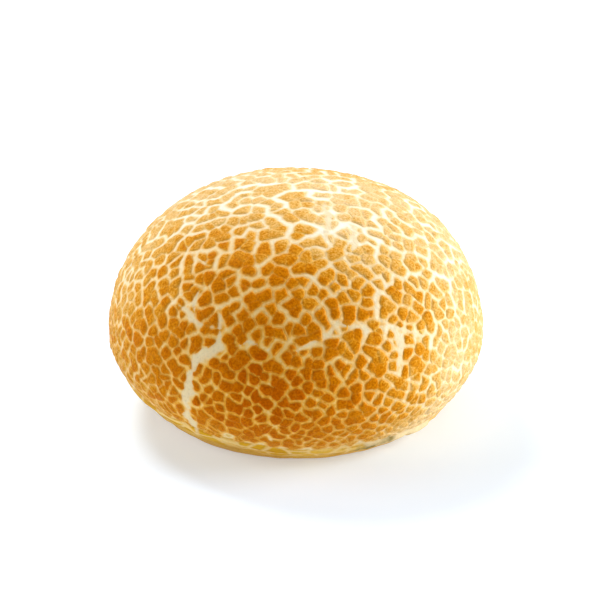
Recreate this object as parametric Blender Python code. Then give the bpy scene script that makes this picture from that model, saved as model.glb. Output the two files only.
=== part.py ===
# A tiger bread roll: a round white roll under a baked rice-paste crust, which has cracked into
# hundreds of raised plates. Metres, +Z up, the origin on the floor under the middle of the base.

import math
import random

import bmesh
import bpy
import numpy as np
from mathutils import Vector, noise

# The roll under its crust
WIDTH = 0.1072
HEIGHT = 0.0663
WIDEST_AT = 0.0215
BASE_WIDTH = 0.0748
DOME_FULLNESS = 2.24
FOOT_FULLNESS = 1.38
UNEVENNESS = 0.0012
LUMP_SIZE = 0.045
LUMP_PLACE = Vector((467.2, 198.4, 108.8))

# The crust's plates: how far apart their middles are, from the crown down to the foot
CROWN_PITCH = 0.0079
FOOT_PITCH = 0.0051
SCATTER = 0.40
CRACK_WIDTH = 0.0015
CORNER_REACH = 1.3
PLATE_RISE = 0.0006
SHORTEST_SIDE = 0.0010
CRUST_SEED = 23

# The bare lip below the crust, lowest at the front and drawn up round the sides and the back
CRUST_ENDS_AT = 0.0058
CRUST_EDGE_WAVE = 0.0014
CRUST_LOWEST_AT = math.radians(-88)
CRUST_LOW_OVER = math.radians(38)
CRUST_DRAWN_UP = 0.0085
LIP_ROWS = 5

CRUST_COLOUR = (0.60, 0.27, 0.035, 1.0)
GOLDEN_ANGLE = math.pi * (3 - math.sqrt(5))


def roll_outline():
    """The turned outline from the crown to the middle of the base, as radii and heights."""
    quarter = np.linspace(0, math.pi / 2, 400)
    dome = 2 / DOME_FULLNESS
    foot = 2 / FOOT_FULLNESS
    top_radius = WIDTH / 2 * np.sin(quarter) ** dome
    top_height = WIDEST_AT + (HEIGHT - WIDEST_AT) * np.cos(quarter) ** dome
    overhang = WIDTH / 2 - BASE_WIDTH / 2
    low_radius = BASE_WIDTH / 2 + overhang * np.cos(quarter[1:]) ** foot
    low_height = WIDEST_AT * (1 - np.sin(quarter[1:]) ** foot)
    base_radius = np.linspace(BASE_WIDTH / 2, 0, 60)[1:]
    radius = np.concatenate([top_radius, low_radius, base_radius])
    height = np.concatenate([top_height, low_height, 0 * base_radius])
    return radius, height


class Outline:
    """The outline by its length from the crown, with the angle that keeps plates as long as wide."""

    def __init__(self):
        self.radius, self.height = roll_outline()
        step_out = np.diff(self.radius)
        step_up = np.diff(self.height)
        step = np.hypot(step_out, step_up)
        self.length = np.concatenate([[0], np.cumsum(step)])
        middle = (self.radius[1:] + self.radius[:-1]) / 2
        stretch = np.concatenate([[0], np.cumsum(step / middle)])
        widest = int(np.argmax(self.radius))
        self.stretch = stretch - stretch[widest]
        self.lean_out = np.gradient(-self.height, self.length)
        self.lean_up = np.gradient(self.radius, self.length)
        room = 2 * math.pi * middle * step / (math.sqrt(3) / 2 * self.pitch(self.length[1:]) ** 2)
        self.plates_above = np.concatenate([[0], np.cumsum(room)])

    def pitch(self, length):
        """The distance between plates at a length down from the crown."""
        down = np.clip(length / self.foot_length(), 0, 1)
        return CROWN_PITCH + (FOOT_PITCH - CROWN_PITCH) * down

    def foot_length(self):
        return self.length_at_height(CRUST_ENDS_AT)

    def length_at_height(self, height):
        below = int(np.nonzero(self.height <= height)[0][0])
        return float(self.length[below])

    def at(self, values, length):
        return float(np.interp(length, self.length, values))

    def direction(self, length, turn):
        """The point of a unit ball that stands for this point of the roll."""
        polar = 2 * math.atan(math.exp(self.at(self.stretch, length)))
        ring = math.sin(polar)
        return Vector((ring * math.cos(turn), ring * math.sin(turn), math.cos(polar)))

    def from_direction(self, ball_point):
        """The length and turn of the roll's point that a point of the unit ball stands for."""
        polar = math.acos(max(-1.0, min(1.0, ball_point.z)))
        stretch = math.log(max(1e-9, math.tan(polar / 2)))
        length = float(np.interp(stretch, self.stretch, self.length))
        return length, math.atan2(ball_point.y, ball_point.x)

    def point(self, length, turn):
        """A point on the bread, uneven by a slow noise that dies out at the base."""
        radius = self.at(self.radius, length)
        height = self.at(self.height, length)
        flat = Vector((radius * math.cos(turn), radius * math.sin(turn), height))
        lift = UNEVENNESS * noise.noise(flat / LUMP_SIZE + LUMP_PLACE) * min(1.0, height / CRUST_ENDS_AT)
        lean = self.at(self.lean_out, length)
        out = Vector((lean * math.cos(turn), lean * math.sin(turn), self.at(self.lean_up, length)))
        return flat + out * lift


def plate_middles(outline):
    """Middles of the plates on a spiral down the whole roll, shifted by a seeded draw."""
    draw = random.Random(CRUST_SEED)
    middles = []
    for index in range(int(outline.plates_above[-1])):
        length = float(np.interp(index + 0.5, outline.plates_above, outline.length))
        turn = index * GOLDEN_ANGLE
        reach = SCATTER * float(outline.pitch(length))
        length = max(0.0, length + reach * draw.uniform(-1, 1))
        turn += reach * draw.uniform(-1, 1) / max(outline.at(outline.radius, length), reach)
        middles.append((length, turn))
    return middles


def crust_edge(outline, turn):
    """How far down from the crown the crust reaches on this side of the roll."""
    wave = noise.noise(Vector((2 * math.cos(turn), 2 * math.sin(turn), 5.5)))
    from_front = math.remainder(turn - CRUST_LOWEST_AT, 2 * math.pi)
    drawn_up = CRUST_DRAWN_UP * (1 - math.exp(-(from_front / CRUST_LOW_OVER) ** 2))
    return outline.foot_length() - drawn_up + CRUST_EDGE_WAVE * 2 * wave


def cracked_skin(outline):
    """One flat cell of the bread's skin for each plate, meeting its neighbours at the cracks."""
    middles = plate_middles(outline)
    ball = bmesh.new()
    for length, turn in middles:
        ball.verts.new(outline.direction(length, turn))
    bmesh.ops.convex_hull(ball, input=ball.verts)
    ball.verts.index_update()
    ball.faces.index_update()
    ball.normal_update()

    skin = bmesh.new()
    corners = []
    for face in ball.faces:
        corners.append(skin.verts.new(outline.point(*outline.from_direction(face.normal))))
    for vert, (length, turn) in zip(ball.verts, middles):
        if length > crust_edge(outline, turn):
            continue
        across = vert.co.orthogonal().normalized()
        along = vert.co.cross(across)
        around = sorted(
            vert.link_faces,
            key=lambda face: math.atan2(face.normal.dot(along), face.normal.dot(across)),
        )
        skin.faces.new([corners[face.index] for face in around])
    ball.free()

    loose = [vert for vert in skin.verts if not vert.link_faces]
    bmesh.ops.delete(skin, geom=loose, context="VERTS")
    bmesh.ops.dissolve_degenerate(skin, dist=SHORTEST_SIDE, edges=skin.edges)
    return skin


def edge_loop(skin):
    """The corners of the crust's lower edge, in order round the roll."""
    rim = {}
    for edge in skin.edges:
        if edge.is_boundary:
            start, end = edge.link_loops[0].vert, edge.link_loops[0].link_loop_next.vert
            rim[end] = start
    first = next(iter(rim))
    loop = [first]
    while rim[loop[-1]] != first:
        loop.append(rim[loop[-1]])
    return loop


def add_lip_and_base(skin, outline):
    """Draws the crust's lower edge down over the smooth lip to the flat base, and closes it."""
    loop = edge_loop(skin)
    count = len(loop)
    full_turn = 2 * math.pi
    turns = [math.atan2(vert.co.y, vert.co.x) for vert in loop]
    way = math.copysign(1, math.remainder(turns[1] - turns[0], full_turn))
    even = [way * full_turn * i / count for i in range(count)]
    shift = sum(math.remainder(turn - mark, full_turn) for turn, mark in zip(turns, even)) / count
    tops = [outline.length_at_height(max(vert.co.z, 0.0)) for vert in loop]
    base_length = outline.length_at_height(0.0)
    above = loop
    for row in range(1, LIP_ROWS + 1):
        share = row / LIP_ROWS
        below = []
        for turn, mark, top in zip(turns, even, tops):
            ragged = math.remainder(turn - mark - shift, full_turn)
            length = top + (base_length - top) * share
            below.append(skin.verts.new(outline.point(length, mark + shift + ragged * (1 - share))))
        for i in range(count):
            j = (i + 1) % count
            skin.faces.new([above[i], above[j], below[j], below[i]])
        above = below
    for vert in above:
        vert.co.z = 0.0
    skin.faces.new(above)


def raise_plates(skin, plates):
    """Lifts each cell's middle off the bread as a plate, leaving a crack all round it."""
    skin.normal_update()
    raised = bmesh.ops.extrude_discrete_faces(skin, faces=plates)["faces"]
    skin.normal_update()
    for plate in raised:
        middle = plate.calc_center_median()
        reach = math.sqrt(plate.calc_area() / math.pi)
        keep = 1 - CRACK_WIDTH / 2 / reach
        for vert in plate.verts:
            spoke = vert.co - middle
            spoke *= min(keep, CORNER_REACH * reach * keep / spoke.length)
            vert.co = middle + spoke + plate.normal * PLATE_RISE


def centre_over_origin(skin):
    """Moves the uneven roll so that its widest extents lie evenly about the origin."""
    for axis in (0, 1):
        reach = [vert.co[axis] for vert in skin.verts]
        middle = (min(reach) + max(reach)) / 2
        for vert in skin.verts:
            vert.co[axis] -= middle


def crust_material():
    material = bpy.data.materials.new("baked_rice_crust")
    material.use_nodes = True
    shader = material.node_tree.nodes["Principled BSDF"]
    shader.inputs["Base Color"].default_value = CRUST_COLOUR
    shader.inputs["Roughness"].default_value = 0.55
    shader.inputs["Metallic"].default_value = 0.0
    return material


def build_roll():
    outline = Outline()
    skin = cracked_skin(outline)
    plates = list(skin.faces)
    add_lip_and_base(skin, outline)
    raise_plates(skin, plates)
    centre_over_origin(skin)
    bmesh.ops.triangulate(skin, faces=skin.faces, quad_method="BEAUTY", ngon_method="BEAUTY")
    bmesh.ops.recalc_face_normals(skin, faces=skin.faces)
    mesh = bpy.data.meshes.new("tiger_bread_roll")
    skin.to_mesh(mesh)
    skin.free()
    mesh.materials.append(crust_material())
    roll = bpy.data.objects.new("tiger_bread_roll", mesh)
    bpy.context.scene.collection.objects.link(roll)
    return roll


for leftover in list(bpy.data.objects):
    bpy.data.objects.remove(leftover)

build_roll()
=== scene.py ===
# Looks of a tiger bread roll: bread with a smooth lip, and on it the baked rice crust, cracked into plates.
# Metres, +Z up, the floor at 0.

import math
import random

import bpy
import numpy as np
from mathutils import Matrix, Vector, kdtree, noise


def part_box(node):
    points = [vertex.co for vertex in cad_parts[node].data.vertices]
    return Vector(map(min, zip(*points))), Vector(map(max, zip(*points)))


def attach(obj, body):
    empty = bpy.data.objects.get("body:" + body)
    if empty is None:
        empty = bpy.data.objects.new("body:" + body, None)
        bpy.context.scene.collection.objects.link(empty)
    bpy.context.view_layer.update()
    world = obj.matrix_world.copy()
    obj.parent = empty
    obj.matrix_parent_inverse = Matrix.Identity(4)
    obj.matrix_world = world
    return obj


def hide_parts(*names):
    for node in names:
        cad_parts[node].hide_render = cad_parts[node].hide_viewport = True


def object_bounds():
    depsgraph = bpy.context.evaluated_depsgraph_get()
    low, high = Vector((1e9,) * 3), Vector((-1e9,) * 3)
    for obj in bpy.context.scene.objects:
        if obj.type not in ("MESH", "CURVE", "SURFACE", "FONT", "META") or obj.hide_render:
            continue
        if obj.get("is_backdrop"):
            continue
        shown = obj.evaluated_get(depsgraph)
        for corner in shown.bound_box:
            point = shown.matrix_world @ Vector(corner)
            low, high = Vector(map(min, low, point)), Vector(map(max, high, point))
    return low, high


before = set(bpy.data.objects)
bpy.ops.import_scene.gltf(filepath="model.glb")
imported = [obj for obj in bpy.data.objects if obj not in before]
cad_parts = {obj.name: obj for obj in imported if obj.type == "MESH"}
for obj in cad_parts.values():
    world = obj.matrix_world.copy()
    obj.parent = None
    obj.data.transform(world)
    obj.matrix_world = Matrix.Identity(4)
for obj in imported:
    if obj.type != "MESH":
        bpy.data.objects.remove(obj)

solid_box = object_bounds()
ROLL_NODE = "tiger_bread_roll"


# The bread: a ball of white dough, proved and baked on a flat tray, so it is widest low down and draws
# in to a flat underside. It shows as crumb in the crust's cracks and as a smooth lip below the crust.
ROLL_WIDTH = 0.1072
ROLL_HEIGHT = 0.0663
WIDEST_AT = 0.0215
BASE_WIDTH = 0.0748
DOME_FULLNESS = 2.24
FOOT_FULLNESS = 1.38
UNEVENNESS = 0.0012
LUMP_SIZE = 0.045
LUMP_PLACE = (467.2, 198.4, 108.8)
CRUST_ENDS_AT = 0.0058
CRUST_EDGE_WAVE = 0.0014
CRUST_LOWEST_AT = math.radians(-84)
CRUST_LOW_OVER = math.radians(34)
CRUST_DRAWN_UP = 0.0076
CRUST_STOPS_SHORT = 0.0018
CRUST_LAPS_AT = math.radians(-25)
CRUST_LAPS_OVER = math.radians(42)
CRUST_LAPS_DOWN = 0.0097
EDGE_WAVES = 2
EDGE_PLACE = 5.5
RING_SHIFT = 0.618
SIDE_STEPS = 400
BASE_STEPS = 60


def turned_outline():
    """The outline from the crown to the middle of the base: length, radius, height and its lean."""
    quarter = np.linspace(0, math.pi / 2, SIDE_STEPS)
    dome = 2 / DOME_FULLNESS
    foot = 2 / FOOT_FULLNESS
    top_radius = ROLL_WIDTH / 2 * np.sin(quarter) ** dome
    top_height = WIDEST_AT + (ROLL_HEIGHT - WIDEST_AT) * np.cos(quarter) ** dome
    overhang = ROLL_WIDTH / 2 - BASE_WIDTH / 2
    low_radius = BASE_WIDTH / 2 + overhang * np.cos(quarter[1:]) ** foot
    low_height = WIDEST_AT * (1 - np.sin(quarter[1:]) ** foot)
    base_radius = np.linspace(BASE_WIDTH / 2, 0, BASE_STEPS)[1:]
    radius = np.concatenate([top_radius, low_radius, base_radius])
    height = np.concatenate([top_height, low_height, 0 * base_radius])
    length = np.concatenate([[0], np.cumsum(np.hypot(np.diff(radius), np.diff(height)))])
    return length, radius, height, np.gradient(-height, length), np.gradient(radius, length)


OUTLINE = turned_outline()
FULL_LENGTH = float(OUTLINE[0][-1])


def outline_at(length):
    """Radius, height and the two parts of the outward direction at lengths down from the crown."""
    return [np.interp(length, OUTLINE[0], column) for column in OUTLINE[1:]]


def length_at_height(height):
    return float(OUTLINE[0][np.nonzero(OUTLINE[2] <= height)[0][0]])


CRUST_LENGTH = length_at_height(CRUST_ENDS_AT)
BASE_LENGTH = length_at_height(0.0)


def grain(points, size, place=(0, 0, 0)):
    """Smooth noise of about this grain size at each point, from about -1 to 1."""
    return np.array([noise.noise(point) for point in (points / size + np.array(place)).tolist()])


def bread_surface(length, turn):
    """Points on the uneven bread, and the directions out of it."""
    radius, height, out, up = outline_at(length)
    points = np.stack([radius * np.cos(turn), radius * np.sin(turn), height], 1)
    outward = np.stack([out * np.cos(turn), out * np.sin(turn), up], 1)
    lift = UNEVENNESS * grain(points, LUMP_SIZE, LUMP_PLACE) * np.minimum(1, height / CRUST_ENDS_AT)
    return points + outward * lift[:, None], outward


def turned_from(turn, mark):
    """How far round from this mark each turn lies, the short way."""
    return np.remainder(turn - mark + math.pi, 2 * math.pi) - math.pi


def crust_edge(turn):
    """How far down from the crown the crust reaches: it is drawn up round the left side and the back, and
    laps furthest down in front and on the right."""
    ring = np.stack([np.cos(turn), np.sin(turn)], 1) * EDGE_WAVES
    ring = np.column_stack([ring, np.full_like(turn, EDGE_PLACE)])
    from_front = turned_from(turn, CRUST_LOWEST_AT) / CRUST_LOW_OVER
    from_lap = turned_from(turn, CRUST_LAPS_AT) / CRUST_LAPS_OVER
    drawn_up = CRUST_STOPS_SHORT + CRUST_DRAWN_UP * (1 - np.exp(-(from_front**2)))
    drawn_up -= CRUST_LAPS_DOWN * np.exp(-(from_lap**2))
    return CRUST_LENGTH - drawn_up + CRUST_EDGE_WAVE * 2 * grain(ring, 1)


def rows_of_points(lengths, spacings):
    """Rings of points down the roll, each with its own spacing, and the triangles between the rings.
    Each ring starts further round than the one above it, so that no lines of points run down the roll."""
    all_lengths, all_turns, triangles = [], [], []
    first, above = 0, None
    for row, (length, spacing) in enumerate(zip(lengths.tolist(), spacings.tolist())):
        at_pole = length <= 0 or length >= FULL_LENGTH
        count = 1 if at_pole else max(3, round(2 * math.pi * float(outline_at(length)[0]) / spacing))
        shift = (row * RING_SHIFT) % 1
        all_lengths.append(np.full(count, length))
        all_turns.append((np.arange(count) + shift) * 2 * math.pi / count)
        here = np.arange(count)
        between = (here + shift + 0.5) / count
        if above is not None:
            start, size, above_between = above
            there = np.arange(size)
            nearest = np.searchsorted(between, above_between) % count
            triangles.append(np.stack([start + there, first + nearest, start + (there + 1) % size], 1))
            nearest = np.searchsorted(above_between, between, side="right") % size
            triangles.append(np.stack([start + nearest, first + here, first + (here + 1) % count], 1))
        above = (first, count, between)
        first += count
    triangles = np.concatenate(triangles)
    a, b, c = triangles.T
    return np.concatenate(all_lengths), np.concatenate(all_turns), triangles[(a != b) & (b != c) & (a != c)]


# The cracks. Rice paste is brushed on the risen dough and sets in the oven before the dough has stopped
# growing, so it tears: long open tears, wide cracks round whole plates, and notches between their lobes.
CROWN_PITCH = 0.0079
FOOT_PITCH = 0.0051
SCATTER = 0.40
CRUST_SEED = 23
LOBE_SHARE = 0.60
LOBE_SCATTER = 0.38
LOBE_SEED = 5
WIDE_AT_CROWN = 0.00066
WIDE_AT_FOOT = 0.00019
LEAST_WIDE = 0.50
MOST_WIDE = 1.90
WIDE_WHERE_BROWN = 0.68
WIDER_WHERE_PALE = 0.38
WIDTH_PATCHES = 0.008
WIDTH_SWING = 0.5
NOTCH_WIDTH = 0.00068
NOTCH_REACH = 0.00085
NOTCH_WHERE_PALE = 0.00015
NOTCH_PATCHES = 0.0042
NOTCH_SWING = 0.00022
LEAST_HEALED = 0.00008
MOST_HEALED = 0.0014
HEALED_WHERE_BROWN = 1.45
LESS_WHERE_PALE = 0.80
ROUNDING = 0.00020
WARPS = ((0.0034, 0.00050), (0.0012, 0.00022))
FRAYS = ((0.0010, 0.00013), (0.00052, 0.00010))
NEAREST_LOBES = 9
FAR = 0.01
FAR_FROM_RIM = 0.006
DRAWS = 4096
PAIR_SEED = 12
PAIR_PRIMES = (7919, 104729)
GOLDEN_ANGLE = math.pi * (3 - math.sqrt(5))
AXIS_PLACE = 5.1
AXIS_STEP = np.array((31.4, -17.3, 9.2))

# Open tears: half their width, then points as the turn in degrees and the length down from the crown
TEARS = (
    (0.00128, (-114, 0.0617), (-121, 0.0664), (-123, 0.0722), (-124, 0.0780), (-125, 0.0862), (-124, 0.0930)),
    (0.00062, (-117, 0.0511), (-115, 0.0573), (-114, 0.0617)),
    (0.00050, (-134, 0.0537), (-128, 0.0551), (-120, 0.0574), (-115, 0.0573)),
    (0.00058, (-129, 0.0469), (-127, 0.0485), (-126, 0.0527), (-124, 0.0557)),
    (0.00045, (-139, 0.0395), (-132, 0.0401), (-127, 0.0404)),
    (0.00058, (-91, 0.0613), (-82, 0.0578), (-76, 0.0539), (-72, 0.0555), (-65, 0.0571), (-58, 0.0581)),
    (0.00055, (-58, 0.0581), (-47, 0.0627), (-40, 0.0630)),
    (0.00070, (-58, 0.0581), (-56, 0.0633), (-59, 0.0711)),
    (0.00045, (-55, 0.0460), (-63, 0.0494)),
    (0.00035, (-110, 0.0610), (-104, 0.0595), (-98, 0.0613)),
    (0.00095, (-53, 0.0127), (-63, 0.0186), (-74, 0.0298)),
    (0.00072, (-60, 0.0243), (-54, 0.0265), (-58, 0.0311), (-64, 0.0347)),
    (0.00045, (-22, 0.0480), (-26, 0.0590)),
    (0.00050, (-98, 0.0862), (-99, 0.0983)),
)
TEAR_NARROWING = 0.0045
TEAR_TIP = 0.15
TEAR_WANDER = 0.0011
TEAR_WANDER_SIZE = 0.0045
TEAR_RAGGEDNESS = 0.75
TEAR_RAG_SIZE = 0.0021
FLARE = 0.00032
FLARE_REACH = 0.0011


# The pale field. The roll is browner on this side, seen from its middle, paler in a belt over the crown and
# both flanks, and browner again on the far side: partly uneven baking, partly painted light, as painted shade
# on the front and a painted sheen over the crown and flanks. Spots shift it: the two large paler ones on the
# right are painted highlights, and three high up in front browned more. Each is where (length down, turn),
# how far round it, and how much paler, with browner below 0.
BROWNEST_AND_SHADED_SIDE = np.array((-0.25, -1.0, -0.25)) / math.hypot(0.25, 1.0, 0.25)
SIDEWAYS_SOONER = 1.35
BROWN_WITHIN = math.radians(13)
PALEST_AT = math.radians(110)
PALE_AT_BACK = 0.10
PALE_PATCHES = 0.014
PALE_SWING = 0.10
HIGHLIGHTS_AND_UNEVEN_SPOTS = (
    (0.0270, math.radians(-56), 0.011, 0.16),
    (0.0790, math.radians(-38), 0.017, 0.27),
    (0.0560, math.radians(-160), 0.018, 0.04),
    (0.0362, math.radians(-124), 0.012, -0.10),
    (0.0437, math.radians(-104), 0.012, -0.10),
    (0.0480, math.radians(-62), 0.012, -0.06),
)


def pale_and_lit_field(points):
    """How pale each point is, from 0 on the front to 1: uneven baking, painted shade and painted sheen."""
    ball = points / (ROLL_WIDTH / 2, ROLL_WIDTH / 2, ROLL_HEIGHT / 2) - (0, 0, 1)
    ball *= (SIDEWAYS_SOONER, 1, 1)
    ball /= np.linalg.norm(ball, axis=1, keepdims=True)
    angle = np.arccos(np.clip(ball @ BROWNEST_AND_SHADED_SIDE, -1, 1))
    fading = (angle - BROWN_WITHIN) / (PALEST_AT - BROWN_WITHIN)
    browning_again = 1 - (1 - PALE_AT_BACK) * (angle - PALEST_AT) / (math.pi - PALEST_AT)
    pale_and_lit = np.minimum(fading, browning_again) + PALE_SWING * grain(points, PALE_PATCHES, (5, 1, 6))
    for *place, reach, paler in HIGHLIGHTS_AND_UNEVEN_SPOTS:
        apart = np.linalg.norm(points - bread_surface(*np.array([place]).T)[0], axis=1)
        pale_and_lit += paler * np.exp(-((apart / reach) ** 2))
    return pale_and_lit


def spiral_of_middles(pitch_share, scatter, seed):
    """Middles on a spiral down the whole roll, closer together towards the foot, each shifted by a draw."""
    length = OUTLINE[0]
    pitch = CROWN_PITCH + (FOOT_PITCH - CROWN_PITCH) * np.clip(length / CRUST_LENGTH, 0, 1)
    pitch = pitch * pitch_share
    radius = (OUTLINE[1][1:] + OUTLINE[1][:-1]) / 2
    room = 2 * math.pi * radius * np.diff(length) / (math.sqrt(3) / 2 * pitch[1:] ** 2)
    above = np.concatenate([[0], np.cumsum(room)])
    draw = random.Random(seed)
    middles = []
    for index in range(int(above[-1])):
        place = float(np.interp(index + 0.5, above, length))
        reach = scatter * float(np.interp(place, length, pitch))
        turn = index * GOLDEN_ANGLE
        place = max(0.0, place + reach * draw.uniform(-1, 1))
        turn += reach * draw.uniform(-1, 1) / max(float(outline_at(place)[0]), reach)
        middles.append((place, turn))
    return np.array(middles)


def tree_of(points):
    tree = kdtree.KDTree(len(points))
    for index, point in enumerate(points.tolist()):
        tree.insert(point, index)
    tree.balance()
    return tree


plate_middles = spiral_of_middles(1.0, SCATTER, CRUST_SEED)
lobe_middles = spiral_of_middles(LOBE_SHARE, LOBE_SCATTER, LOBE_SEED)
plate_points, _ = bread_surface(*plate_middles.T)
lobe_points, _ = bread_surface(*lobe_middles.T)
plate_tree = tree_of(plate_points)
lobe_tree = tree_of(lobe_points)
lobe_plate = np.array([plate_tree.find(point)[1] for point in lobe_points.tolist()])
lobe_bare = plate_middles[lobe_plate, 0] > crust_edge(plate_middles[lobe_plate, 1])
healing_draw, tearing_draw = np.random.default_rng(PAIR_SEED).uniform(0, 1, (2, DRAWS))


def pair_draw(draws, one, other):
    """The same draw for a pair whichever of the two comes first."""
    return draws[(np.minimum(one, other) * PAIR_PRIMES[0] + np.maximum(one, other) * PAIR_PRIMES[1]) % DRAWS]


def shoved(points, size, reach, place):
    """The points, each shoved by up to about this reach in a way that changes over this size."""
    ways = [grain(points, size, (place, AXIS_PLACE, 0) + AXIS_STEP * axis) for axis in range(3)]
    return points + reach * np.stack(ways, 1)


def from_run(points, start, end):
    """How far each point lies from the straight run between two others."""
    run = end - start
    share = np.clip((points - start) @ run / (run @ run), 0, 1)
    return np.linalg.norm(points - start - share[:, None] * run, axis=1)


def outside_tears(points):
    """How far each point lies from the edge of the nearest open tear."""
    points = shoved(points, TEAR_WANDER_SIZE, TEAR_WANDER, 40)
    raggedness = 1 + TEAR_RAGGEDNESS * grain(points, TEAR_RAG_SIZE, (6, 2, 8))
    clear = np.full(len(points), FAR)
    for half, *route in TEARS:
        ends = np.array([(length, math.radians(turn)) for turn, length in route])
        route_points, _ = bread_surface(*ends.T)
        own_half = half
        for place, tip in ((route[0], route_points[0]), (route[-1], route_points[-1])):
            if sum(place in other for _, *other in TEARS) == 1:
                to_tip = np.linalg.norm(points - tip, axis=1)
                own_half = own_half * np.minimum(1, TEAR_TIP + to_tip / TEAR_NARROWING)
        for start, end in zip(route_points[:-1], route_points[1:]):
            clear = np.minimum(clear, from_run(points, start, end) - own_half * raggedness)
    return clear


def crack_field(points, length):
    """For each point: how far inside a plate's edge it is, with cracks below 0, its lobe, its plate, and
    how far it is from the healed seam between two lobes of that plate."""
    warped = points
    for size, reach in WARPS:
        warped = shoved(warped, size, reach, 0)
    near = [lobe_tree.find_n(point, NEAREST_LOBES) for point in warped.tolist()]
    lobe = np.array([[found[1] for found in row] for row in near])
    apart = np.array([[found[2] for found in row] for row in near])
    own, others = lobe[:, :1], lobe[:, 1:]
    gap = np.linalg.norm(lobe_points[others] - lobe_points[own], axis=2)
    edge = (apart[:, 1:] ** 2 - apart[:, :1] ** 2) / (2 * gap)
    own_plate, other_plates = lobe_plate[own], lobe_plate[others]
    same = own_plate == other_plates

    down = np.clip(length / CRUST_LENGTH, 0, 1)
    wide = WIDE_AT_CROWN + (WIDE_AT_FOOT - WIDE_AT_CROWN) * down
    pale_and_lit = np.clip(pale_and_lit_field(points), 0, 1)
    wide = wide * (WIDE_WHERE_BROWN + WIDER_WHERE_PALE * pale_and_lit)
    wide = wide * (1 + WIDTH_SWING * grain(points, WIDTH_PATCHES, (3, 8, 1)))
    clear_of_tears = outside_tears(warped)
    flare = FLARE * np.exp(-np.maximum(clear_of_tears, 0) / FLARE_REACH)
    wide = wide + flare
    torn = LEAST_WIDE + (MOST_WIDE - LEAST_WIDE) * pair_draw(tearing_draw, own_plate, other_plates)
    healed = LEAST_HEALED + (MOST_HEALED - LEAST_HEALED) * pair_draw(healing_draw, own, others) ** 2
    healed = healed * (HEALED_WHERE_BROWN - LESS_WHERE_PALE * pale_and_lit)[:, None]
    to_rim = np.where(same, FAR_FROM_RIM, edge).min(1, keepdims=True)
    notch = NOTCH_WIDTH * np.exp(-to_rim / NOTCH_REACH) - healed
    opened = NOTCH_WHERE_PALE * pale_and_lit + NOTCH_SWING * grain(points, NOTCH_PATCHES, (11, 2, 7)) + flare
    notch += opened[:, None]
    inside = edge - np.where(same, notch, wide[:, None] * torn)
    inside = np.concatenate([inside, clear_of_tears[:, None]], 1)
    inside = -ROUNDING * np.log(np.exp(-inside / ROUNDING).sum(1))

    to_crust = np.where(lobe_bare[others], FAR, edge).min(1)
    inside = np.where(lobe_bare[own[:, 0]], -WIDE_AT_FOOT - to_crust, inside)
    for place, (size, depth) in enumerate(FRAYS):
        inside = inside + depth * grain(points, size, (place, 7, 5))
    seam = np.where(same, edge, FAR).min(1)
    return inside, own[:, 0], own_plate[:, 0], seam


# The bread's own piece: one closed skin, granular where the cracks bare the crumb, smooth on the lip, and
# flat and browned underneath where it lay on the tray.
BREAD_SPACING = 0.00058
BASE_SPACING = 0.0016
CRUMB_GRAIN = 0.00012
FINE_CRUMB = 0.0011
COARSE_CRUMB = 0.0026
COARSE_SHARE = 0.7
CRUMB_FADES_OVER = 0.002
CRUMB_ON_LIP = 0.12
LIP_ROLL = 0.00060
LIP_ROLL_AT = 0.0019
LIP_ROLL_OVER = 0.0011
LIP_CREASE = 0.00045
LIP_CREASE_OVER = 0.0005
FOLD_DEPTH = 0.00045
FOLD_SIZE = 0.0013
FOLD_STRETCH = 6
FOLDS_START_OVER = 0.001
LIP_THINS_BELOW = 0.0015
TORN_FROM = math.radians(-68)
TORN_TO = math.radians(-32)
TORN_ABOVE_EDGE = 0.0008
TORN_BELOW_CRUST = 0.0045
TORN_ENDS_OVER = math.radians(5)
TORN_EDGE = 0.0008
TORN_RAGS = 0.0022
TORN_FINE_RAGS = 0.0010
FINE_RAGS_SHARE = 0.6
TORN_FILL = 1.5
TORN_LACK = 0.8
TORN_RISE = 0.00045
TEAR_EDGE = 0.0003
# The painted shade in the crease under the torn strip runs between these two (length down, turn) ends
SHADED_CREASE = ((0.0990, math.radians(-67)), (0.0962, math.radians(-55)))
SHADED_CREASE_OVER = 0.0010
SHADED_CREASE_RAGS = (0.5, 1.2)
MM_PER_METRE = 1000

side_rows = np.linspace(0, BASE_LENGTH, round(BASE_LENGTH / BREAD_SPACING) + 1)
base_rows = np.linspace(BASE_LENGTH, FULL_LENGTH, round(BASE_WIDTH / 2 / BASE_SPACING) + 1)[1:]
bread_rows = np.concatenate([side_rows, base_rows])
row_spacings = np.where(bread_rows <= BASE_LENGTH, BREAD_SPACING, BASE_SPACING)
bread_length, bread_turn, bread_triangles = rows_of_points(bread_rows, row_spacings)
bread_points, bread_outward = bread_surface(bread_length, bread_turn)
bread_inside = crack_field(bread_points, bread_length)[0]


def mesh_of(name, points, faces, values):
    """A smooth piece with one number for each point under each of these names."""
    mesh = bpy.data.meshes.new(name)
    mesh.from_pydata(points.tolist(), [], faces)
    mesh.shade_smooth()
    for key, numbers in values.items():
        layer = mesh.attributes.new(key, "FLOAT", "POINT")
        layer.data.foreach_set("value", np.asarray(numbers, np.float32))
    mesh.update()
    piece = bpy.data.objects.new(name, mesh)
    bpy.context.scene.collection.objects.link(piece)
    return piece


below_crust = bread_length - crust_edge(bread_turn)
crumb = grain(bread_points, FINE_CRUMB, (1, 5, 9))
crumb += COARSE_SHARE * grain(bread_points, COARSE_CRUMB, (4, 4, 2))
crumb_lift = CRUMB_GRAIN * crumb * np.clip(1 - below_crust / CRUMB_FADES_OVER, CRUMB_ON_LIP, 1)

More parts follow.
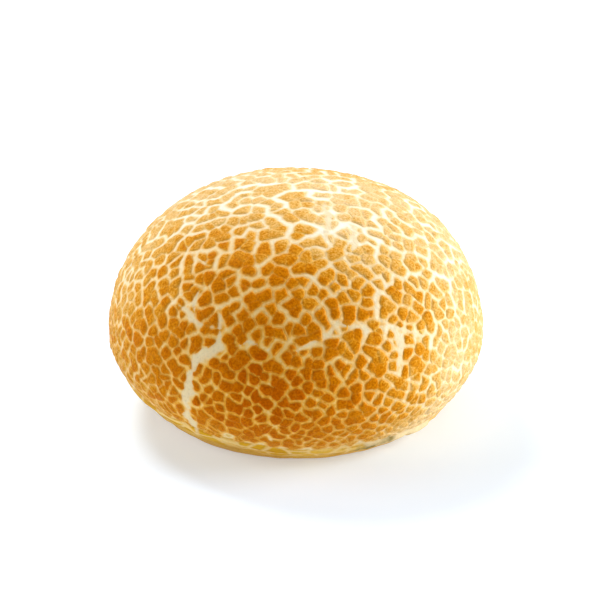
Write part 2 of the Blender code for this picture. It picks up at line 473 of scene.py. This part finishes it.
# The lip rolls out below a crease under the crust, in fine folds that run round the roll
stretched = np.stack([np.cos(bread_turn), np.sin(bread_turn)], 1) * ROLL_WIDTH / 2 / FOLD_STRETCH
folds = grain(np.column_stack([stretched, bread_length]), FOLD_SIZE, (3, 1, 4))
rolled = LIP_ROLL * np.exp(-(((below_crust - LIP_ROLL_AT) / LIP_ROLL_OVER) ** 2))
rolled -= LIP_CREASE * np.exp(-((below_crust / LIP_CREASE_OVER) ** 2))
rolled += FOLD_DEPTH * folds * np.clip(1 + below_crust / FOLDS_START_OVER, 0, 1)

# In front on the right it tore off the tray as a ragged pale strip, with painted shade in the crease below it
raggedness = 0.5 + grain(bread_points, TORN_RAGS, (2, 9, 4))
raggedness += FINE_RAGS_SHARE * grain(bread_points, TORN_FINE_RAGS, (7, 3, 3))
torn_round = np.minimum(turned_from(bread_turn, TORN_FROM), -turned_from(bread_turn, TORN_TO))
torn_round /= TORN_ENDS_OVER
torn_down = np.minimum(below_crust + TORN_ABOVE_EDGE, TORN_BELOW_CRUST - below_crust) / TORN_EDGE
in_strip = np.minimum(torn_round, torn_down)
torn = np.clip(np.clip(in_strip, 0, 1) * TORN_FILL - TORN_LACK + raggedness, 0, 1) * (in_strip > 0)
rolled += TORN_RISE * torn
torn = np.maximum(torn, np.clip(0.5 - outside_tears(bread_points) / TEAR_EDGE, 0, 1))
shaded_crease_ends, _ = bread_surface(*np.array(SHADED_CREASE).T)
crease_shade = np.exp(-((from_run(bread_points, *shaded_crease_ends) / SHADED_CREASE_OVER) ** 2))
crease_shade *= SHADED_CREASE_RAGS[0] + SHADED_CREASE_RAGS[1] * raggedness

bread_lift = crumb_lift + rolled * np.clip(bread_points[:, 2] / LIP_THINS_BELOW, 0, 1)
on_base = bread_length > BASE_LENGTH - 1e-6
bread_lift[on_base] = -np.abs(crumb_lift[on_base])
bread = mesh_of(
    "bread",
    bread_points + bread_outward * bread_lift[:, None],
    bread_triangles.tolist(),
    {
        "inside": bread_inside * MM_PER_METRE,
        "below_crust": below_crust * MM_PER_METRE,
        # The pale field: uneven baking, with painted shade on the front and painted sheen over the crown and
        # flanks
        "pale_and_lit": pale_and_lit_field(bread_points),
        "torn": torn,
        "crease_shade": np.clip(crease_shade, 0, 1),
    },
)


def grain_group():
    """Grain, specks and slow patches that every baked surface here shows, each from its own size."""
    group = bpy.data.node_groups.new("baked_grain", "ShaderNodeTree")
    tree = group.interface
    for name in ("Grain size", "Patch size"):
        tree.new_socket(name=name, in_out="INPUT", socket_type="NodeSocketFloat")
    for name in ("Grain", "Patches"):
        tree.new_socket(name=name, in_out="OUTPUT", socket_type="NodeSocketFloat")
    enter = group.nodes.new("NodeGroupInput")
    leave = group.nodes.new("NodeGroupOutput")
    place = group.nodes.new("ShaderNodeTexCoord")
    for name, size, detail in (("Grain", "Grain size", 3.0), ("Patches", "Patch size", 2.0)):
        per_metre = group.nodes.new("ShaderNodeMath")
        per_metre.operation = "DIVIDE"
        per_metre.inputs[0].default_value = 1.0
        group.links.new(enter.outputs[size], per_metre.inputs[1])
        texture = group.nodes.new("ShaderNodeTexNoise")
        texture.inputs["Detail"].default_value = detail
        group.links.new(place.outputs["Object"], texture.inputs["Vector"])
        group.links.new(per_metre.outputs["Value"], texture.inputs["Scale"])
        group.links.new(texture.outputs["Fac"], leave.inputs[name])
    return group


baked_grain = grain_group()


class Look:
    """A material on its Principled shader, with short names for the nodes that these looks use."""

    def __init__(self, name, roughness, gloss, gloss_tint=(1.0, 1.0, 1.0)):
        self.material = bpy.data.materials.new(name)
        self.material.use_nodes = True
        self.tree = self.material.node_tree
        self.shader = self.tree.nodes["Principled BSDF"]
        self.shader.inputs["Roughness"].default_value = roughness
        self.shader.inputs["Specular IOR Level"].default_value = gloss
        self.shader.inputs["Specular Tint"].default_value = (*gloss_tint, 1)

    def put(self, value, socket):
        if isinstance(value, bpy.types.NodeSocket):
            self.tree.links.new(value, socket)
        elif isinstance(value, tuple):
            socket.default_value = (*value, 1) if len(value) == 3 else value
        else:
            socket.default_value = value

    def node(self, kind, **settings):
        made = self.tree.nodes.new(kind)
        for key, value in settings.items():
            setattr(made, key, value)
        return made

    def number(self, name):
        """The mesh's own number under this name."""
        return self.node("ShaderNodeAttribute", attribute_name=name).outputs["Fac"]

    def grain(self, grain_size, patch_size):
        made = self.node("ShaderNodeGroup", node_tree=baked_grain)
        made.inputs["Grain size"].default_value = grain_size
        made.inputs["Patch size"].default_value = patch_size
        return made.outputs["Grain"], made.outputs["Patches"]

    def noise(self, coordinates, scale, detail=2.0):
        made = self.node("ShaderNodeTexNoise")
        made.inputs["Scale"].default_value = scale
        made.inputs["Detail"].default_value = detail
        self.put(coordinates, made.inputs["Vector"])
        return made.outputs["Fac"]

    def maths(self, operation, *values, clamp=False):
        made = self.node("ShaderNodeMath", operation=operation, use_clamp=clamp)
        for value, socket in zip(values, made.inputs):
            self.put(value, socket)
        return made.outputs["Value"]

    def ramp(self, value, *stops):
        """A colour, or a grey, that runs through (value, colour) stops."""
        low, high = stops[0][0], stops[-1][0]
        reach = self.node("ShaderNodeMapRange")
        reach.inputs["From Min"].default_value = low
        reach.inputs["From Max"].default_value = high
        self.put(value, reach.inputs["Value"])
        made = self.node("ShaderNodeValToRGB")
        elements = made.color_ramp.elements
        while len(elements) < len(stops):
            elements.new(0.5)
        for element, (place, colour) in zip(elements, stops):
            element.position = (place - low) / (high - low)
            element.color = (*colour, 1) if isinstance(colour, tuple) else (colour, colour, colour, 1)
        self.put(reach.outputs["Result"], made.inputs["Fac"])
        return made.outputs["Color"]

    def scaled(self, value, times, plus, clamp=False):
        """The value multiplied by one number, plus the other."""
        return self.maths("MULTIPLY_ADD", value, times, plus, clamp=clamp)

    def mix(self, share, a, b, blend="MIX"):
        """Two colours mixed, on the Mix node's sockets for colours, which are inputs 6 and 7 and output 2."""
        made = self.node("ShaderNodeMix", data_type="RGBA", blend_type=blend)
        for value, socket in ((share, made.inputs[0]), (a, made.inputs[6]), (b, made.inputs[7])):
            self.put(value, socket)
        return made.outputs[2]

    def colour(self, value):
        self.put(value, self.shader.inputs["Base Color"])

    def relief(self, height, distance):
        made = self.node("ShaderNodeBump")
        made.inputs["Distance"].default_value = distance
        self.put(height, made.inputs["Height"])
        self.put(made.outputs["Normal"], self.shader.inputs["Normal"])


def finish_piece(piece, look):
    """Gives a piece its material and its place on the solid."""
    piece.data.materials.append(look.material)
    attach(piece, "root")
    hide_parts(ROLL_NODE)


# Half-baked paste thinly coats the narrow cracks, and the crumb is white only where they stand open.
# Depths are in millimetres, below 0 in the cracks and above 0 under the plates. A value is multiplied by
# the first number of its pair, and then the second is added.
CRUMB_BLUR = 0.35
LIT_CRUMB_SHARE = (1.6, -0.26)
LIT_SKIN_SHARE = (1.7, -0.45)
STREAKS_PER_METRE = 45.0
STREAK_SCALE = 1.3
SEAM_SHAPES = (3.2, 3.2, 0.42)
SEAM_COLOUR = (0.90, 0.66, 0.28)
TRAY_BROWN = (0.60, 0.34, 0.10)
TORN_SHARE = 0.75
TORN_COLOUR = (0.83, 0.68, 0.42)
# Colour of the painted shade in the crease under the torn strip
CREASE_SHADE_COLOUR = (0.25, 0.175, 0.04)

bread_look = Look("white_bread", roughness=0.7, gloss=0.05)
crumb_grain, _ = bread_look.grain(grain_size=0.0007, patch_size=0.006)
crumb_swing = bread_look.maths("SUBTRACT", crumb_grain, 0.5)
crack_depth = bread_look.scaled(crumb_swing, CRUMB_BLUR, bread_look.number("inside"))
# Two copies of the crumb colours, mixed by the pale field: the pale one is partly painted sheen over the
# crown and flanks, and the golden one is partly painted shade on the front
golden_crumb = bread_look.ramp(
    crack_depth,
    (-2.6, (0.72, 0.42, 0.06)),
    (-1.5, (0.80, 0.53, 0.14)),
    (-0.95, (0.88, 0.69, 0.37)),
    (-0.65, (0.88, 0.61, 0.24)),
    (-0.32, (0.87, 0.51, 0.12)),
    (-0.10, (0.80, 0.37, 0.035)),
    (0.12, (0.66, 0.25, 0.008)),
)
lit_pale_crumb = bread_look.ramp(
    crack_depth,
    (-1.0, (0.93, 0.88, 0.75)),
    (-0.65, (0.92, 0.83, 0.64)),
    (-0.32, (0.89, 0.72, 0.44)),
    (-0.10, (0.84, 0.60, 0.28)),
    (0.12, (0.74, 0.50, 0.17)),
)
crumb_lit_share = bread_look.scaled(bread_look.number("pale_and_lit"), *LIT_CRUMB_SHARE, clamp=True)
crumb_colour = bread_look.mix(crumb_lit_share, golden_crumb, lit_pale_crumb)

# The lip is streaked round the roll, with seams of plates that never parted, and browner to the tray
skin_depth = bread_look.number("below_crust")
place = bread_look.node("ShaderNodeTexCoord").outputs["Object"]
across = bread_look.node("ShaderNodeSeparateXYZ")
bread_look.put(place, across.inputs["Vector"])
streak_place = bread_look.node("ShaderNodeCombineXYZ")
for axis in ("X", "Y"):
    spread = bread_look.maths("MULTIPLY", across.outputs[axis], STREAKS_PER_METRE)
    bread_look.put(spread, streak_place.inputs[axis])
bread_look.put(skin_depth, streak_place.inputs["Z"])
streaks = bread_look.noise(streak_place.outputs["Vector"], STREAK_SCALE, 3.0)
golden_skin = bread_look.ramp(
    streaks,
    (0.30, (0.54, 0.24, 0.008)),
    (0.46, (0.70, 0.36, 0.015)),
    (0.60, (0.78, 0.45, 0.03)),
    (0.74, (0.92, 0.67, 0.24)),
)
plate_shapes = bread_look.node("ShaderNodeTexVoronoi", feature="DISTANCE_TO_EDGE")
plate_shapes.inputs["Scale"].default_value = 1.0
plate_place = bread_look.node("ShaderNodeMapping")
plate_place.inputs["Scale"].default_value = SEAM_SHAPES
bread_look.put(streak_place.outputs["Vector"], plate_place.inputs["Vector"])
bread_look.put(plate_place.outputs["Vector"], plate_shapes.inputs["Vector"])
seam_share = bread_look.maths(
    "MULTIPLY",
    bread_look.ramp(plate_shapes.outputs["Distance"], (0.02, 0.85), (0.13, 0.0)),
    bread_look.ramp(skin_depth, (3.5, 1.0), (8.0, 0.0)),
)
golden_skin = bread_look.mix(seam_share, golden_skin, SEAM_COLOUR)
# A fairer copy of the lip, mixed in by the pale field: partly painted sheen on the flanks and back
lit_fair_skin = bread_look.ramp(
    streaks,
    (0.30, (0.66, 0.40, 0.12)),
    (0.55, (0.80, 0.56, 0.24)),
    (0.68, (0.90, 0.74, 0.44)),
)
skin_lit_share = bread_look.scaled(bread_look.number("pale_and_lit"), *LIT_SKIN_SHARE, clamp=True)
skin = bread_look.mix(skin_lit_share, golden_skin, lit_fair_skin)
tray_share = bread_look.ramp(skin_depth, (4.0, 0.0), (13.0, 1.0))
skin_colour = bread_look.mix(tray_share, skin, TRAY_BROWN)
skin_share = bread_look.ramp(skin_depth, (-0.6, 0.0), (0.4, 1.0))
bread_tint = bread_look.ramp(crumb_grain, (0.25, 0.86), (0.5, 1.0), (0.75, 1.0))
bread_colour = bread_look.mix(skin_share, crumb_colour, skin_colour)
torn_share = bread_look.maths("MULTIPLY", bread_look.number("torn"), TORN_SHARE)
bread_colour = bread_look.mix(torn_share, bread_colour, TORN_COLOUR)
# Painted shade darkens the crease under the torn strip
bread_colour = bread_look.mix(bread_look.number("crease_shade"), bread_colour, CREASE_SHADE_COLOUR)
bread_look.colour(bread_look.mix(1.0, bread_colour, bread_tint, "MULTIPLY"))
bread_look.relief(crumb_grain, distance=0.00012)
finish_piece(bread, bread_look)


# The crust's plates: baked rice paste about half a millimetre thick, stuck to the crumb, each with a
# rounded rim, an almost flat top and a sandy grain. One piece each for the crown, shoulder and skirt.
PLATE_SPACING = 0.00035
RIM_HEIGHT = 0.00006
PLATE_HEIGHT = 0.00035
RIM_ROUNDING = 0.00042
LOW_GOLD = 0.34
LOW_OVER = 0.0065
FLATTER_OVER = 0.0042
FLATTEST = 0.3
SUNK = 0.00030
SUNK_IN_HOLE = 0.00018
RIM_SPREAD = 0.00010
SNAP = 0.00007
ROWS_PAST_EDGE = 0.004
TONE_SEED = 31
LOBE_LIFT = 0.00009
SAND = ((0.0009, 0.00005, (9, 1, 3)), (0.0021, 0.00004, (2, 6, 3)))
CROWN_ENDS = 0.048
SHOULDER_ENDS = 0.074

crust_rows = np.arange(0, CRUST_LENGTH + ROWS_PAST_EDGE, PLATE_SPACING)
crust_spacings = np.full(len(crust_rows), PLATE_SPACING)
plate_length, plate_turn, plate_triangles = rows_of_points(crust_rows, crust_spacings)
plate_surface, plate_outward = bread_surface(plate_length, plate_turn)
inside, lobe_at, plate_at, seam_apart = crack_field(plate_surface, plate_length)
inside[np.abs(inside) < SNAP] = 0


def cut_plates():
    """The faces that lie inside plates, cut along the plates' edges, and the grid edges that were cut."""
    sign = np.sign(inside)[plate_triangles]
    some = (sign > 0).any(1)
    whole = some & (sign >= 0).all(1)
    faces = plate_triangles[whole].tolist()
    cuts = {}
    for corners in plate_triangles[some & ~whole].tolist():
        ring = []
        for a, b in zip(corners, corners[1:] + corners[:1]):
            if inside[a] >= 0:
                ring.append(a)
            if inside[a] * inside[b] < 0:
                ring.append(cuts.setdefault((min(a, b), max(a, b)), len(inside) + len(cuts)))
        faces.append(ring)
    return faces, np.array(list(cuts))


plate_faces, cut_edges = cut_plates()
from_end, to_end = cut_edges.T
cut_share = inside[from_end] / (inside[from_end] - inside[to_end])


def with_cuts(values):
    """The grid's values, then those at the cut points, between their two ends."""
    share = cut_share.reshape((-1,) + (1,) * (values.ndim - 1))
    return np.concatenate([values, values[from_end] * (1 - share) + values[to_end] * share])


def with_plate_ends(values):
    """The grid's values, then those at the cut points, from the end that is on the plate."""
    return np.concatenate([values, np.where(inside[from_end] > 0, values[from_end], values[to_end])])


surface = with_cuts(plate_surface)
outward = with_cuts(plate_outward)
lobe_of = with_plate_ends(lobe_at)
plate_of = with_plate_ends(plate_at)
depth = np.concatenate([inside, np.zeros(len(cut_edges))])
# The pale field on the plates: uneven baking, with painted shade on the front and painted sheen up top
pale_and_lit_of = pale_and_lit_field(surface)
seam_of = with_cuts(seam_apart)
plate_draw = np.random.default_rng(TONE_SEED)
lobe_lift = plate_draw.normal(0, LOBE_LIFT, len(lobe_points))
lobe_tone = plate_draw.uniform(0, 1, len(lobe_points))

# Plates lie flatter and stay more golden towards the crust's lower edge
above_edge = crust_edge(lobe_middles[:, 1]) - lobe_middles[:, 0]
pale_and_lit_of = pale_and_lit_of + (LOW_GOLD * np.exp(-np.maximum(above_edge, 0) / LOW_OVER))[lobe_of]
to_edge = crust_edge(with_cuts(plate_turn)) - with_cuts(plate_length)
flatness = np.clip(to_edge / FLATTER_OVER, FLATTEST, 1)
rise = 1 - np.exp(-np.maximum(depth, 0) / RIM_ROUNDING)
sandy = sum(depth_of * grain(surface, size, place) for size, depth_of, place in SAND)
lifted = RIM_HEIGHT + (PLATE_HEIGHT - RIM_HEIGHT + lobe_lift[lobe_of] + sandy) * rise
top = surface + outward * (lifted * flatness)[:, None]


def edge_rings(faces):
    """The closed rings of edges that only one face uses, in the direction in which that face goes."""
    single = {}
    for face in faces:
        for a, b in zip(face, face[1:] + face[:1]):
            if single.pop((b, a), None) is None:
                single[a, b] = True
    ways = {}
    for a, b in single:
        ways.setdefault(a, []).append(b)
    rings = []
    while ways:
        ring = [next(iter(ways))]
        while len(ring) == 1 or ring[-1] != ring[0]:
            here = ring[-1]
            ring.append(ways[here].pop())
            if not ways[here]:
                del ways[here]
        rings.append(ring[:-1])
    return rings


def make_plates(name, chosen):
    """One piece of closed plates: tops, walls that spread and sink into the crumb, and undersides."""
    wanted = chosen[plate_of]
    faces = [face for face in plate_faces if wanted[face[0]] and len({plate_of[k] for k in face}) == 1]
    low_points, low_from, low_faces = [], [], []
    for ring in edge_rings(faces):
        here = np.array(ring)
        after, before = np.roll(here, -1), np.roll(here, 1)
        around = np.cross(surface[here] - surface[here[0]], surface[after] - surface[here[0]]).sum(0)
        is_hole = around @ outward[here].mean(0) < 0
        side = np.cross(top[after] - top[before], outward[here])
        side /= np.maximum(np.linalg.norm(side, axis=1, keepdims=True), 1e-9)
        sunk = SUNK_IN_HOLE if is_hole else SUNK
        first = len(top) + len(low_points)
        low = list(range(first, first + len(ring)))
        low_points += (surface[here] + side * RIM_SPREAD - outward[here] * sunk).tolist()
        low_from += ring
        walls = zip(ring[1:] + ring[:1], ring, low, low[1:] + low[:1])
        low_faces += [list(corners) for corners in walls]
        low_faces.append(low[::-1])
    points = np.concatenate([top, low_points])
    faces = faces + low_faces
    used = np.unique(np.concatenate(faces))
    place_of = np.zeros(len(points), int)
    place_of[used] = np.arange(len(used))
    place_of = place_of.tolist()
    faces = [[place_of[k] for k in face] for face in faces]
    values = {
        "tone": np.concatenate([lobe_tone[lobe_of], lobe_tone[lobe_of[low_from]]])[used],
        "inside": np.concatenate([depth, np.zeros(len(low_from))])[used] * MM_PER_METRE,
        "pale_and_lit": np.concatenate([pale_and_lit_of, pale_and_lit_of[low_from]])[used],
        "seam": np.concatenate([seam_of, seam_of[low_from]])[used] * MM_PER_METRE,
    }
    return mesh_of(name, points[used], faces, values)


plate_down = plate_middles[:, 0]
crusts = [
    make_plates("crown_crust", plate_down < CROWN_ENDS),
    make_plates("shoulder_crust", (plate_down >= CROWN_ENDS) & (plate_down < SHOULDER_ENDS)),
    make_plates("skirt_crust", plate_down >= SHOULDER_ENDS),
]

# Thin pale rims, and middles of a deep orange brown that turn gold where the pale field is high, from
# uneven baking and from painted sheen over the crown and flanks, with painted shade on the front
SEAM_DEPTH = (1.0, 0.17)
RIM_NARROWING = (-0.65, 1.35)
RIM_BLUR = 0.8
LOBE_TONE = (0.14, -0.07)
PATCH_TONE = (0.5, -0.25)
GRAIN_TONE = 0.55

crust_look = Look("baked_rice_crust", roughness=0.42, gloss=0.02, gloss_tint=(1.0, 0.55, 0.10))
crust_grain, crust_patches = crust_look.grain(grain_size=0.0006, patch_size=0.004)
grain_swing = crust_look.maths("SUBTRACT", crust_grain, 0.5)
seam_depth = crust_look.scaled(crust_look.number("seam"), *SEAM_DEPTH)
least_depth = crust_look.maths("MINIMUM", crust_look.number("inside"), seam_depth)
narrowing = crust_look.scaled(crust_look.number("pale_and_lit"), *RIM_NARROWING)
rim_depth = crust_look.scaled(grain_swing, RIM_BLUR, crust_look.maths("MULTIPLY", least_depth, narrowing))
own_tone = crust_look.scaled(crust_look.number("tone"), *LOBE_TONE)
patch_tone = crust_look.scaled(crust_patches, *PATCH_TONE)
mottled = crust_look.scaled(grain_swing, GRAIN_TONE, own_tone)
plate_pale_and_lit = crust_look.maths("ADD", crust_look.maths("ADD", mottled, patch_tone), crust_look.number("pale_and_lit"))
middle_colour = crust_look.ramp(
    plate_pale_and_lit,
    (-0.1, (0.49, 0.100, 0.0003)),
    (0.08, (0.53, 0.133, 0.0006)),
    (0.3, (0.58, 0.174, 0.0013)),
    (0.42, (0.61, 0.198, 0.0022)),
    (0.54, (0.67, 0.272, 0.012)),
    (0.75, (0.74, 0.412, 0.092)),
    (1.0, (0.80, 0.53, 0.23)),
)
rim_colour = crust_look.ramp(
    plate_pale_and_lit,
    (0.0, (0.86, 0.46, 0.05)),
    (0.5, (0.91, 0.59, 0.13)),
    (1.0, (0.94, 0.79, 0.48)),
)
middle_share = crust_look.ramp(rim_depth, (-0.10, 0.0), (0.07, 0.55), (0.24, 0.9), (0.6, 1.0))
toned = crust_look.mix(middle_share, rim_colour, middle_colour)
sand = crust_look.ramp(
    crust_grain,
    (0.36, (0.85, 0.81, 0.70)),
    (0.50, (1.0, 1.0, 1.0)),
    (0.64, (1.10, 1.13, 1.3)),
)
crust_look.colour(crust_look.mix(1.0, toned, sand, "MULTIPLY"))
crust_look.relief(crust_grain, distance=0.00014)
for crust in crusts:
    finish_piece(crust, crust_look)

# All four are moved so that the roll's widest extents lie evenly about the origin, and would be shrunk
# if they were wider than the solid's
pieces = [bread] + crusts
solid_low, solid_high = np.array(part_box(ROLL_NODE))
corners = []
for piece in pieces:
    spots = np.empty(len(piece.data.vertices) * 3, np.float32)
    piece.data.vertices.foreach_get("co", spots)
    corners += [spots.reshape(-1, 3).min(0), spots.reshape(-1, 3).max(0)]
low, high = np.min(corners, 0), np.max(corners, 0)
fit = np.minimum(1, (solid_high - solid_low) / (high - low))
middle = Vector(((low[0] + high[0]) / 2, (low[1] + high[1]) / 2, 0))
settle = Matrix.Diagonal((*fit.tolist(), 1)) @ Matrix.Translation(-middle)
for piece in pieces:
    piece.data.transform(settle)


# The floor that the roll stands on, plain, white and matt, and wide enough to fill every view. It glows a
# little, so that it stays as white as in the photograph.
FLOOR_REACH = 3.0
FLOOR_COLOUR = (0.62, 0.70, 0.79)
FLOOR_GLOW = 0.34
scene = bpy.context.scene
floor_mesh = bpy.data.meshes.new("floor")
floor_corners = [(-FLOOR_REACH, -FLOOR_REACH, 0), (FLOOR_REACH, -FLOOR_REACH, 0)]
floor_corners += [(FLOOR_REACH, FLOOR_REACH, 0), (-FLOOR_REACH, FLOOR_REACH, 0)]
floor_mesh.from_pydata(floor_corners, [], [(0, 1, 2, 3)])
floor = bpy.data.objects.new("floor", floor_mesh)
scene.collection.objects.link(floor)
floor_look = Look("white_floor", roughness=0.8, gloss=0.2)
floor_look.colour(FLOOR_COLOUR)
floor_look.shader.inputs["Emission Color"].default_value = (1, 1, 1, 1)
floor_look.shader.inputs["Emission Strength"].default_value = FLOOR_GLOW
floor.data.materials.append(floor_look.material)
floor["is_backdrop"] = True


# Soft studio light: the strongest box on the right, weaker ones left, behind, overhead and in front, and
# a small one high up behind on the left.
LIGHT_AIM = Vector((0, 0, 0.03))


def add_softbox(name, place, size, power):
    data = bpy.data.lights.new(name, "AREA")
    data.shape = "SQUARE"
    data.size = size
    data.energy = power
    light = bpy.data.objects.new(name, data)
    scene.collection.objects.link(light)
    light.location = place
    light.rotation_euler = (LIGHT_AIM - Vector(place)).to_track_quat("-Z", "Y").to_euler()


add_softbox("overhead", (0.15, 0.10, 1.20), size=1.0, power=2.4)
add_softbox("behind", (0.0, 1.30, 0.60), size=1.0, power=3.7)
add_softbox("right", (1.20, 0.0, 0.50), size=0.7, power=19.0)
add_softbox("left", (-1.20, 0.0, 0.50), size=0.7, power=8.0)
add_softbox("behind_left", (-0.90, 0.90, 0.50), size=0.6, power=1.6)
add_softbox("key", (-0.42, 0.54, 0.90), size=0.3, power=7.6)
add_softbox("front", (0.20, -1.30, 0.70), size=0.7, power=4.6)

world = bpy.data.worlds.new("studio")
world.use_nodes = True
world.node_tree.nodes["Background"].inputs["Color"].default_value = (1, 1, 1, 1)
world.node_tree.nodes["Background"].inputs["Strength"].default_value = 0.01
scene.world = world
scene.view_settings.view_transform = "Standard"


# The camera, 0.65 m away and looking down at the roll by 24 degrees. Its lens and small shifts place the
# roll in the picture as the photograph does.
AIM = Vector((0, 0, 0.0335))
CAMERA_LIFT = math.radians(24)
CAMERA_DISTANCE = 0.648
camera_data = bpy.data.cameras.new("camera")
camera_data.lens = 134.8
camera_data.sensor_width = 36
camera_data.shift_x = 0.0068
camera_data.shift_y = -0.0115
camera_data.clip_start = 0.01
camera = bpy.data.objects.new("camera", camera_data)
scene.collection.objects.link(camera)
camera.location = AIM + CAMERA_DISTANCE * Vector((0, -math.cos(CAMERA_LIFT), math.sin(CAMERA_LIFT)))
camera.rotation_euler = (AIM - camera.location).to_track_quat("-Z", "Y").to_euler()
scene.camera = camera

boxes = {"cad": solid_box, "visual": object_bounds()}
boxes = {name: [[float(number) for number in corner] for corner in box] for name, box in boxes.items()}
